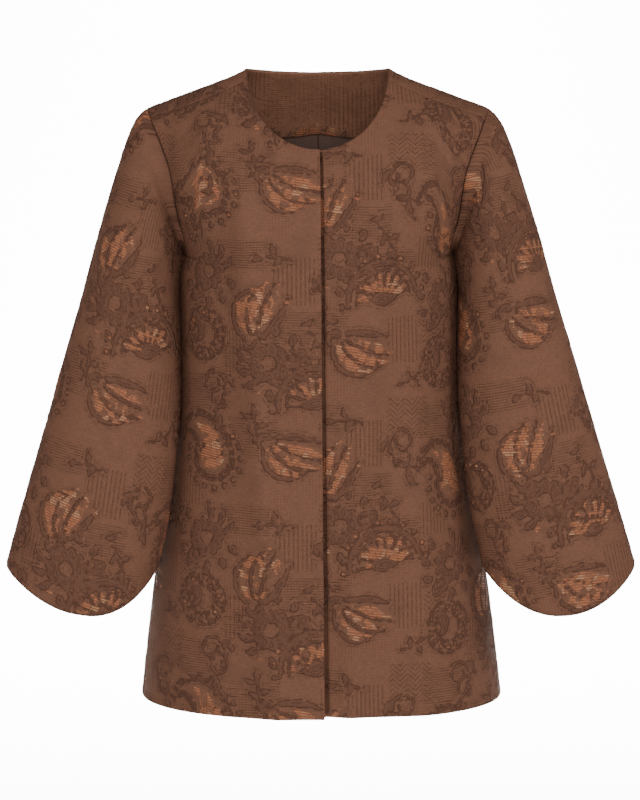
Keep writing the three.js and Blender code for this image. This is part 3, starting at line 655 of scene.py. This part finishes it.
def inside_stroke(x, y, line, half):
    """How many mm each point lies inside the stroke, below zero outside it."""
    best = np.full(x.shape, -1e9)
    for a, b, half_a, half_b in zip(line[:-1], line[1:], half[:-1], half[1:]):
        way = b - a
        t = np.clip(((x - a[0]) * way[0] + (y - a[1]) * way[1]) / max(way @ way, 1e-9), 0, 1)
        gap = np.hypot(x - a[0] - t * way[0], y - a[1] - t * way[1])
        best = np.maximum(best, mix(half_a, half_b, t) - gap)
    return best


def draw_motif(fields, x, y, place):
    """Draws one motif into the fields, at the points near it."""
    near = np.flatnonzero(np.hypot(x - place["x"], y - place["y"]) < MOTIF_REACH * place["size"])
    if not len(near):
        return
    turn = math.radians(place["turn"])
    east, north = (x[near] - place["x"]) / place["size"], (y[near] - place["y"]) / place["size"]
    p = east * math.cos(turn) + north * math.sin(turn)
    q = (north * math.cos(turn) - east * math.sin(turn)) * place["flip"]
    for row in STROKES:
        if row["motif"] != place["motif"]:
            continue
        line, half = spine(row)
        for k in range(row["count"]):
            angle = math.radians(row["spread"] * (k / max(row["count"] - 1, 1) - 0.5))
            a = p * math.cos(angle) + q * math.sin(angle)
            b = q * math.cos(angle) - p * math.sin(angle)
            inside = inside_stroke(a, b, line, half)
            inside = np.minimum(inside - row["shell"], row["core"] - inside) * place["size"]
            if row["field"] == "clear":
                fields["dark"][near] = np.minimum(fields["dark"][near], -inside)
            else:
                fields[row["field"]][near] = np.maximum(fields[row["field"]][near], inside)


def figure_fields(across, up, offset):
    """The woven figure at flat cloth coordinates, as mm inside each kind of figure."""
    x, y = across.ravel() + offset[0], up.ravel() + offset[1]
    fields = {name: np.full(x.shape, -FAR) for name in FIELDS}
    first, last = int(np.floor(x.min() / REPEAT_WIDE)) - 1, int(np.ceil(x.max() / REPEAT_WIDE)) + 1
    for column in range(first, last):
        drop = REPEAT_HIGH / 2 * (column % 2)  # every second column starts half a repeat higher
        low = int(np.floor((y.min() - drop) / REPEAT_HIGH)) - 1
        for row in range(low, int(np.ceil((y.max() - drop) / REPEAT_HIGH)) + 1):
            shift = np.array([column * REPEAT_WIDE, row * REPEAT_HIGH + drop])
            for place in MOTIFS:
                at = {"x": place["x"] + shift[0], "y": place["y"] + shift[1]}
                draw_motif(fields, x, y, {**place, **at})
            for place in BLOCKS:
                p, q = np.abs(x - place["x"] - shift[0]), np.abs(y - place["y"] - shift[1])
                ragged = 3 * np.sin(y * 0.9 + place["x"]) * np.sin(y * 0.37) + 1.5 * np.sin(x * 0.5)
                inside = np.minimum(place["wide"] / 2 + ragged - p, place["high"] / 2 - q)
                fields[place["field"]] = np.maximum(fields[place["field"]], inside)
    figure = np.maximum(fields["dark"], fields["rust"])
    for name in ("rows", "columns", "herringbone"):  # a patch stops short of the drawn figures
        fields[name] = np.minimum(fields[name], -figure - 2)
    return {name: np.clip(field, -FAR, FAR) for name, field in fields.items()}

# %% [markdown]
# The jacquard is woven from matt brown yarn, with a faint sheen where the yarn floats. The figure is
# a darker brown that stands up a little, and the rust parts are ribs of a shinier yarn. The patches
# of ribs lie in the ground. The fields of the figure come to the material as attributes, and the
# ribs are waves over the flat cloth coordinates of the UV map, so both follow the cloth.

# %% The jacquard
RIB_MM = 3.1  # pitch of the rust ribs
HATCH_ROW_MM = 3.0
HATCH_COLUMN_MM = 3.7
PATCH_RIB_MM = 5.2
HERRING_RIB_MM = 6.0
HERRING_COLUMN_MM = 9.0
ECHO_MM = 2.9  # pitch of the lines that follow a figure's outline inside it
AROUND_MM = 3.0  # how far outside the figure one more line follows its outline
CELL_MM = 8.5  # size of the small leaves that break the rust parts
SLUB_MM = 1.6  # real yarns are 0.3 mm and would not show, so the weave is drawn this coarse
COLOURS = {
    "ground": "6B4939", "worn": "5A3E31", "figure": "583C30", "line": "33211A",
    "rust": "935D41", "groove": "754C3A", "bead": "9C7457",
}
# The facing's ground, worn tone and figure are painted lighter and redder. This is painted light that
# brightens the inside of the neck.
FACING_PAINTED_LIGHT_COLOURS = {**COLOURS, "ground": "855C49", "worn": "6A4938", "figure": "64483A"}


def jacquard(name, colours):
    """Woven brown jacquard: matt, with a raised darker figure and shinier rust ribs."""
    material = new_material(name)
    tone = {key: linear(value) for key, value in colours.items()}

    def maths(operation, *values):
        inputs = dict(enumerate(values))
        return add_node(material, "ShaderNodeMath", inputs, operation=operation).outputs[0]

    def times(one, other):
        return maths("MULTIPLY", one, other)

    def step(value, low, high):
        inputs = {"Value": value, "From Min": low, "From Max": high}
        node = add_node(material, "ShaderNodeMapRange", inputs, interpolation_type="SMOOTHSTEP")
        return node.outputs[0]

    def blend(under, over, amount):
        inputs = {"Factor": amount, 6: under, 7: over}
        return add_node(material, "ShaderNodeMix", inputs, data_type="RGBA").outputs[2]

    def noise(place, scale, detail):
        inputs = {"Vector": place, "Scale": scale, "Detail": detail, "Roughness": 0.6}
        return add_node(material, "ShaderNodeTexNoise", inputs).outputs["Fac"]

    def ribs(place, pitch, low, high):
        wave = maths("SINE", times(place, 2 * math.pi / pitch))
        return step(wave, low, high)

    def cells(place, scale, feature):
        inputs = {"Vector": place, "Scale": scale}
        return add_node(material, "ShaderNodeTexVoronoi", inputs, feature=feature).outputs

    flat = add_node(material, "ShaderNodeUVMap", uv_map="cut").outputs["UV"]
    mm = add_node(material, "ShaderNodeVectorMath", {0: flat, 1: (1000, 1000, 1000)},
                  operation="MULTIPLY").outputs[0]
    cut = add_node(material, "ShaderNodeSeparateXYZ", {"Vector": mm})
    across, up = cut.outputs["X"], cut.outputs["Y"]
    weft = add_node(material, "ShaderNodeMapping", {"Vector": mm, "Scale": (0.28, 1.0, 1.0)}).outputs[0]
    warp = add_node(material, "ShaderNodeMapping", {"Vector": mm, "Scale": (1.0, 0.2, 1.0)}).outputs[0]
    slub, strand, scuff = noise(weft, 1 / SLUB_MM, 2.0), noise(warp, 0.8, 2.0), noise(weft, 1 / 3.2, 3.0)
    cloud, wobble = noise(mm, 1 / 45, 3.0), noise(mm, 1 / 7, 2.0)
    ragged = times(maths("SUBTRACT", scuff, 0.5), 3.0)
    ragged = maths("MULTIPLY_ADD", maths("SUBTRACT", wobble, 0.5), 4.5, ragged)

    inside = {}
    for field in FIELDS:
        distance = add_node(material, "ShaderNodeAttribute", attribute_name=field).outputs["Fac"]
        inside[field] = maths("ADD", distance, ragged)

    dark = step(inside["dark"], -1.0, 1.2)
    halo = times(step(inside["dark"], -9.0, 0.5), step(wobble, 0.40, 0.62))
    broken = step(wobble, 0.36, 0.52)
    outline = maths("SUBTRACT", 1.0, step(maths("ABSOLUTE", inside["dark"]), 0.1, 1.0))
    outline = times(outline, broken)
    echo = times(ribs(inside["dark"], ECHO_MM, 0.4, 1.0), step(inside["dark"], 0.8, 1.6))
    beside = maths("ABSOLUTE", maths("ADD", inside["dark"], AROUND_MM))
    around = maths("SUBTRACT", 1.0, step(beside, 0.1, 0.8))
    echo = maths("MAXIMUM", echo, times(around, step(scuff, 0.48, 0.58)))
    slant = maths("MULTIPLY_ADD", across, 0.16, up)
    rib_number = maths("FLOOR", maths("DIVIDE", slant, RIB_MM))
    fringe = add_node(material, "ShaderNodeTexWhiteNoise", {"W": rib_number},
                      noise_dimensions="1D").outputs["Value"]
    rust_inside = maths("MULTIPLY_ADD", maths("SUBTRACT", fringe, 0.85), 3.8, inside["rust"])
    leaf_edge = step(cells(mm, 1 / CELL_MM, "DISTANCE_TO_EDGE")["Distance"], 0.0, 0.05)
    leaf_kind = add_node(material, "ShaderNodeSeparateXYZ", {
        "Vector": cells(mm, 1 / CELL_MM, "F1")["Color"]}).outputs["X"]
    leaf = times(leaf_edge, step(leaf_kind, 0.20, 0.24))
    rust = times(step(rust_inside, -0.4, 0.5), leaf)
    rust_ribs = times(ribs(slant, RIB_MM, -1.0, 0.5), step(scuff, 0.22, 0.44))
    shine = times(rust, rust_ribs)
    zigzag = maths("ADD", up, maths("PINGPONG", across, HERRING_COLUMN_MM))
    patches = 0.0
    for field, place, pitch in (
        ("rows", up, HATCH_ROW_MM), ("columns", across, PATCH_RIB_MM),
        ("herringbone", zigzag, HERRING_RIB_MM),
    ):
        lines = times(ribs(place, pitch, 0.3, 1.0), step(inside[field], -0.6, 1.2))
        patches = maths("MAXIMUM", lines, patches)
    patches = times(patches, step(scuff, 0.30, 0.58))
    hatch = maths("MAXIMUM", ribs(up, HATCH_ROW_MM, 0.2, 1.0), ribs(across, HATCH_COLUMN_MM, 0.3, 1.0))
    hatch = times(hatch, step(maths("MULTIPLY_ADD", dark, 0.12, cloud), 0.46, 0.60))

    wear = maths("MULTIPLY_ADD", cloud, 0.6, times(slub, 0.45))
    wear = maths("MULTIPLY_ADD", strand, 0.35, wear)
    colour = blend(tone["worn"], tone["ground"], step(wear, 0.50, 0.90))
    colour = blend(colour, tone["figure"], times(halo, 0.55))
    colour = blend(colour, tone["line"], times(hatch, 0.20))
    colour = blend(colour, tone["line"], times(patches, 0.46))
    colour = blend(colour, tone["figure"], times(dark, 0.72))
    # The dark lines along and around the figure's outline are partly woven lines and partly painted
    # shade in the grooves that the bump cuts there.
    lines = maths("MAXIMUM", outline, times(echo, 0.75))
    colour = blend(colour, tone["line"], times(lines, 0.45))
    colour = blend(colour, tone["groove"], times(rust, 0.85))
    thread = blend(tone["rust"], tone["bead"], step(leaf_kind, 0.82, 0.88))
    colour = blend(colour, thread, times(shine, 0.88))

    dome = times(step(inside["dark"], -0.5, 3.0), 1.0)
    height = maths("MULTIPLY_ADD", maths("ADD", slub, strand), 0.35, dome)
    for groove, depth in ((patches, -0.45), (hatch, -0.25), (outline, -0.9), (echo, -0.6), (shine, 0.6)):
        height = maths("MULTIPLY_ADD", groove, depth, height)
    bump = add_node(material, "ShaderNodeBump", {
        "Height": height, "Strength": 0.7, "Distance": 0.0017}).outputs[0]
    shader = add_node(material, "ShaderNodeBsdfPrincipled", {
        "Base Color": colour, "Roughness": maths("MULTIPLY_ADD", shine, -0.15, 0.8),
        "Specular IOR Level": 0.05, "Normal": bump,
    })
    add_node(material, "ShaderNodeOutputMaterial", {"Surface": shader.outputs[0]})
    return material


cloth = jacquard("woven_jacquard_brown", COLOURS)
facing_cloth_painted_light = jacquard("woven_jacquard_facing_painted_light", FACING_PAINTED_LIGHT_COLOURS)
print("Each jacquard has", len(cloth.node_tree.nodes), "nodes")

# %% [markdown]
# The wrong side of a jacquard shows the loose yarns of the figure only faintly. It is darker, with
# short weft floats, and it is seen in the neck, in the sleeves and under the hem.

# %% The wrong side of the cloth
inner = new_material("woven_jacquard_wrong_side")
inner_flat = add_node(inner, "ShaderNodeUVMap", uv_map="cut").outputs["UV"]
inner_yarn = add_node(inner, "ShaderNodeMapping", {"Vector": inner_flat, "Scale": (200, 700, 1)})
inner_slub = add_node(inner, "ShaderNodeTexNoise", {
    "Vector": inner_yarn.outputs[0], "Scale": 1.0, "Detail": 3.0})
inner_tone = add_node(inner, "ShaderNodeMix", {
    "Factor": inner_slub.outputs["Fac"], 6: linear("48342B"), 7: linear("6A544C")},
    data_type="RGBA")
inner_bump = add_node(inner, "ShaderNodeBump", {
    "Height": inner_slub.outputs["Fac"], "Strength": 0.4, "Distance": 0.0006})
inner_shader = add_node(inner, "ShaderNodeBsdfPrincipled", {
    "Base Color": inner_tone.outputs[2], "Roughness": 0.85, "Specular IOR Level": 0.2,
    "Normal": inner_bump.outputs[0]})
add_node(inner, "ShaderNodeOutputMaterial", {"Surface": inner_shader.outputs[0]})
print("The wrong side has", len(inner.node_tree.nodes), "nodes")

# %% [markdown]
# Where a free edge is turned in, the cloth rolls over within 2 mm, and beside a seam it dips, because
# the stitches pull it down. Both are small moves of the surface along its outward direction. The
# panels meet at their seams, so that no light comes through. Simulated cloth would give other folds
# in each run, so every fall and dip is given here.

# %% How the cloth ends at its edges
ROLL_REACH = 2.2
ROLL_DEPTH = 1.0
DIP_REACH = 3.4
DIP_DEPTH = 0.7
FIGURE_RISE = 0.4


def roll(distance):
    return ROLL_DEPTH * np.clip(1 - distance / ROLL_REACH, 0, 1) ** 2


def dip(distance):
    return DIP_DEPTH * np.clip(1 - distance / DIP_REACH, 0, 1) ** 2


def lean_with_photo(points):
    """The whole jacket hangs a little to the wearer's left towards the hem."""
    shift = HEM_LEAN * np.maximum(0, points[..., 2] / HEM_Z)
    return points + np.stack([shift, 0 * shift, 0 * shift], axis=-1)


def add_cloth_grid(form, layers, grid, hand, offset):
    """Adds one grid to a bmesh: a create_grid whose points are put onto the form."""
    rows, columns = grid["across"].shape
    made = bmesh.ops.create_grid(form, x_segments=columns - 1, y_segments=rows - 1, size=0.5)
    across = grid["across"] * hand
    fields = figure_fields(across, grid["up"], offset)
    if "plain" in grid:  # only fine lines there, and no figure
        plain = FAR * grid["plain"].ravel()
        fields = {key: field - plain for key, field in fields.items()}
        fields["rows"] = fields["rows"] + 2 * plain
        fields["columns"] = fields["columns"] + 2 * plain
    risen = FIGURE_RISE * (ease(fields["dark"], -0.8, 1.4) + 0.6 * ease(fields["rust"], -0.8, 1.4))
    lift = risen.reshape(across.shape) * ease(grid["calm"], 1, 5) - grid["sink"]
    points = grid["points"] + grid["normals"] * lift[..., None]
    points = lean_with_photo(points * [hand, 1, 1]) * MM
    for vert in made["verts"]:
        row = round((vert.co.y + 0.5) * (rows - 1))
        column = round((vert.co.x + 0.5) * (columns - 1))
        vert.co = points[row, column]
        vert[layers["across"]] = (across[row, column] + offset[0]) * MM
        vert[layers["up"]] = (grid["up"][row, column] + offset[1]) * MM
        for name in FIELDS:
            vert[layers[name]] = fields[name][row * columns + column]


def make_panel(name, grids, hand, offset, outside=cloth):
    """A cut piece: its grids sewn to one surface, given the cloth's thickness inwards."""
    form = bmesh.new()
    layers = {key: form.verts.layers.float.new(key) for key in FIELDS + ["across", "up"]}
    for grid in grids:
        add_cloth_grid(form, layers, grid, hand, offset)
    bmesh.ops.remove_doubles(form, verts=form.verts, dist=0.00001)
    form.faces.ensure_lookup_table()
    rows, columns = grids[0]["across"].shape
    middle = form.faces[(rows // 2) * (columns - 1) + columns // 2]
    middle.normal_update()
    outward = grids[0]["normals"][rows // 2, columns // 2] * [hand, 1, 1]
    if middle.normal.dot(Vector(outward)) < 0:
        bmesh.ops.reverse_faces(form, faces=form.faces)
    uv = form.loops.layers.uv.new("cut")
    for face in form.faces:
        face.smooth = True
        for loop in face.loops:
            loop[uv].uv = (loop.vert[layers["across"]], loop.vert[layers["up"]])
    mesh = bpy.data.meshes.new(name)
    form.to_mesh(mesh)
    form.free()
    mesh.materials.append(outside)
    mesh.materials.append(inner)
    piece = bpy.data.objects.new(name, mesh)
    bpy.context.scene.collection.objects.link(piece)
    wall = piece.modifiers.new("cloth", "SOLIDIFY")
    wall.thickness = CLOTH * MM
    wall.offset = -1
    wall.material_offset = 1
    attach(piece, "root")
    area = sum(face.area for face in mesh.polygons)
    print(name, len(mesh.polygons), "faces,", round(area, 4), "square metres")
    return piece

# %% [markdown]
# A front runs from the centre edge to the side seam below and the armhole above, and up to the
# neckline and the shoulder seam. The wearer's right front lies on top of the left one, which steps
# back under it and dips into a groove beside the edge, so that the centre line lies in shade, as an
# unpressed edge does. The left front is cut 3 mm shorter at the centre.

# %% The fronts and backs
def edge_distances(grid):
    """The distance of every point from the centre edge, the side, the hem and the top."""
    across, up = grid["across"], grid["up"]
    return {
        "centre": np.abs(across - across[:, :1]), "side": np.abs(across[:, -1:] - across),
        "hem": np.abs(up - up[:1]), "top": np.abs(up[-1:] - up),
    }


def finish_front(grid, under):
    far = edge_distances(grid)
    open_top = grid["u"] < NECK_SHARE
    grid["sink"] = roll(far["centre"]) + roll(far["hem"]) + dip(far["side"])
    grid["sink"] = grid["sink"] + np.where(open_top, roll(far["top"]), dip(far["top"]))
    grid["calm"] = np.minimum.reduce(list(far.values()))
    if under:
        step_back = EDGE_STEP * (1 - ease(grid["u"], STEP_START, STEP_END))
        shares, depths = zip(*GROOVE)
        groove = np.interp(grid["u"], shares, depths, 0, 0)
        groove = groove * ease(far["hem"], 0, GROOVE_FADE) * ease(far["top"], 0, GROOVE_FADE)
        grid["sink"] = grid["sink"] + step_back + groove
        low = np.clip(1 - far["hem"] / LEFT_HEM_REACH, 0, 1) ** 2 * (1 - ease(grid["u"], 0, 0.5))
        grid["points"][..., 2] += LEFT_HEM_RISE * low


def finish_back(grid):
    far = edge_distances(grid)
    open_top = grid["u"] < NECK_SHARE
    grid["sink"] = dip(far["centre"]) * ease(far["top"], 2, 14) + roll(far["hem"]) + dip(far["side"])
    grid["sink"] = grid["sink"] + np.where(open_top, roll(far["top"]), 0)
    grid["calm"] = np.minimum.reduce([far["centre"], far["side"], far["hem"]])
    strip = grid["strip"]
    rim = {"seam": np.abs(strip["up"][-1:] - strip["up"]),
           "side": np.abs(strip["across"][:, -1:] - strip["across"]),
           "neck": np.abs(strip["across"] - strip["across"][:, :1])}
    strip["sink"] = dip(rim["seam"]) + dip(rim["side"]) + roll(rim["neck"])
    strip["calm"] = np.minimum.reduce(list(rim.values()))
    grid["sink"][-1, grid["u"][-1] >= NECK_SHARE] = strip["sink"][0]
    grid["calm"][-1, grid["u"][-1] >= NECK_SHARE] = strip["calm"][0]


EDGE_STEP = 2.8  # how far the left front lies behind the right one's edge
GROOVE_FADE = 9  # how far from the hem and the neck the groove beside that edge is at its full depth
LEFT_HEM_RISE = 3.0
LEFT_HEM_REACH = 160  # how far up the shorter cut is taken up
finish_front(front_left, under=True)
finish_front(front_right, under=False)
finish_back(back_left)
finish_back(back_right)
BODY_PANELS = [  # offset is where the panel was laid on the cloth, in mm
    {"name": "front_right", "grid": front_right, "hand": -1, "offset": (620, 60)},
    {"name": "front_left", "grid": front_left, "hand": 1, "offset": (95, 250)},
    {"name": "back_right", "grid": back_right, "hand": -1, "offset": (1210, 20)},
    {"name": "back_left", "grid": back_left, "hand": 1, "offset": (905, 130)},
]
pieces = {}
for row in BODY_PANELS:
    grids = [row["grid"]] + ([row["grid"]["strip"]] if "strip" in row["grid"] else [])
    piece = make_panel("cloth_" + row["name"], grids, row["hand"], row["offset"])
    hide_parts(row["name"])
    pieces[row["name"]] = piece

# %% [markdown]
# The sleeves are each one grid, closed under the arm by their own seam. Their upper ring meets the
# armhole, and a seam there pulls both sides down a little. A sleeve is cut in one piece. Its solid
# is in four bands, so that the collision keeps it hollow, and one shell takes the place of all four.

# %% The sleeves
SLEEVE_BANDS = ("cap", "upper", "middle", "lower")
for name, grid, hand, offset in (
    ("sleeve_right", sleeve_right, -1, (1700, 940)),
    ("sleeve_left", sleeve_left, 1, (2330, 1010)),
):
    points = grid["points"]
    lengths = np.linalg.norm(np.diff(points, axis=0), axis=-1)
    down = np.concatenate([np.zeros((1, points.shape[1])), np.cumsum(lengths, axis=0)])
    seam = np.minimum(np.abs(grid["across"] - grid["across"][:, :1]),
                      np.abs(grid["across"] - grid["across"][:, -1:]))
    grid["sink"] = dip(down) + roll(down[-1:] - down) + dip(seam)
    grid["calm"] = np.minimum.reduce([down, down[-1:] - down, seam])
    piece = make_panel("cloth_" + name, [grid], hand, offset)
    side = name.removeprefix("sleeve_")
    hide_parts(*["sleeve_" + band + "_" + side for band in SLEEVE_BANDS])
    pieces[name] = piece

# %% [markdown]
# The facing is a shaped strip of jacquard inside the back of the neck, right side towards the
# wearer. Its colours are painted a shade redder and lighter than the rest of the jacquard. This is
# painted light that brightens the inside of the neck. It is cut where the cloth has fine lines and
# little figure. It hangs from the neck edge. Its lower edge is free and stands a little away.

# %% The back neck facing
FACING_END = 8 / 12
FACING_DEPTH = 5 / 11
FACING_CURVE = 0.75
FACING_STAND_OFF = 3.0
FACING_FIGURE_TOP = 20  # the facing's part of the figure lies below this height, in mm
half = tight(np.linspace(0, FACING_END, 61), at_end=True)
facing_u = np.concatenate([-half[:0:-1], half])
facing_r = tight(np.linspace(0, 1, 33), True, True)
uu, rr = np.meshgrid(facing_u, facing_r)
depth = FACING_DEPTH * (1 - FACING_CURVE * (np.abs(uu) / FACING_END) ** 3)
place = upper_patch("back", 1.0, np.abs(uu), 1 - depth * (1 - rr))
angle = np.sign(uu) * place[..., 0]
facing_points, facing_normals = place_grid("back", angle, place[..., 1], 1)
stand_off = mix(FACING_STAND_OFF, LAYER_GAP, rr) + 2 * CLOTH
facing_points = facing_points - facing_normals * stand_off[..., None]
across, up = flat_coordinates(facing_points, facing_normals)
across = across - across[:, [len(half) - 1]]
facing_grid = {"points": facing_points, "normals": -facing_normals, "across": across, "up": up}
far = edge_distances(facing_grid)
facing_grid["sink"] = roll(far["hem"]) + roll(far["top"])
facing_grid["calm"] = np.minimum.reduce(list(far.values()))
facing_grid["plain"] = ease(up, FACING_FIGURE_TOP - 9, FACING_FIGURE_TOP)
facing = make_panel("cloth_back_neck_facing", [facing_grid], 1, (330, 700), facing_cloth_painted_light)
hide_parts("back_neck_facing")
pieces["back_neck_facing"] = facing

# %% [markdown]
# The faces of all cut pieces are counted. Each face gives triangles on the outside and on the inside.

# %% The size of the cut pieces in triangles
faces = sum(len(piece.data.polygons) for piece in pieces.values())
print("About", 4 * faces, "triangles with the inner sides")
